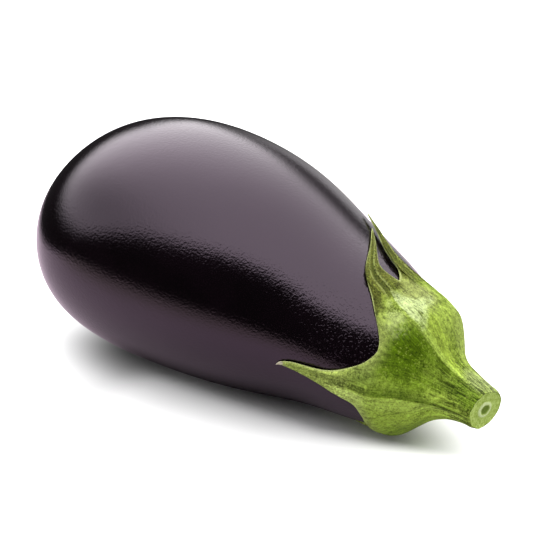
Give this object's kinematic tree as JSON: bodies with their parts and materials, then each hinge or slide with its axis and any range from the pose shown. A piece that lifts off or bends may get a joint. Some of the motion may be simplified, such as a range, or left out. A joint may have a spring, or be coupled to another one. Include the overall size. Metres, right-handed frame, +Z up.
{
  "type": "eggplant",
  "caption": "Whole eggplant lying on its side: a glossy pear-shaped fruit with a green calyx of pointed lobes and a short cut stem.",
  "frame": {"origin": "middle of the bounding box, on the floor that the fruit rests on", "axes": "+X along the fruit towards the cut stem, +Z up"},
  "size_m": [0.2044, 0.1004, 0.0955],
  "materials": {
    "skin": "glossy dark purple-black skin",
    "calyx": "matt green, finely fibrous"
  },
  "bodies": {
    "root": {"fruit": "skin", "calyx_with_stem": "calyx"}
  },
  "joints": []
}
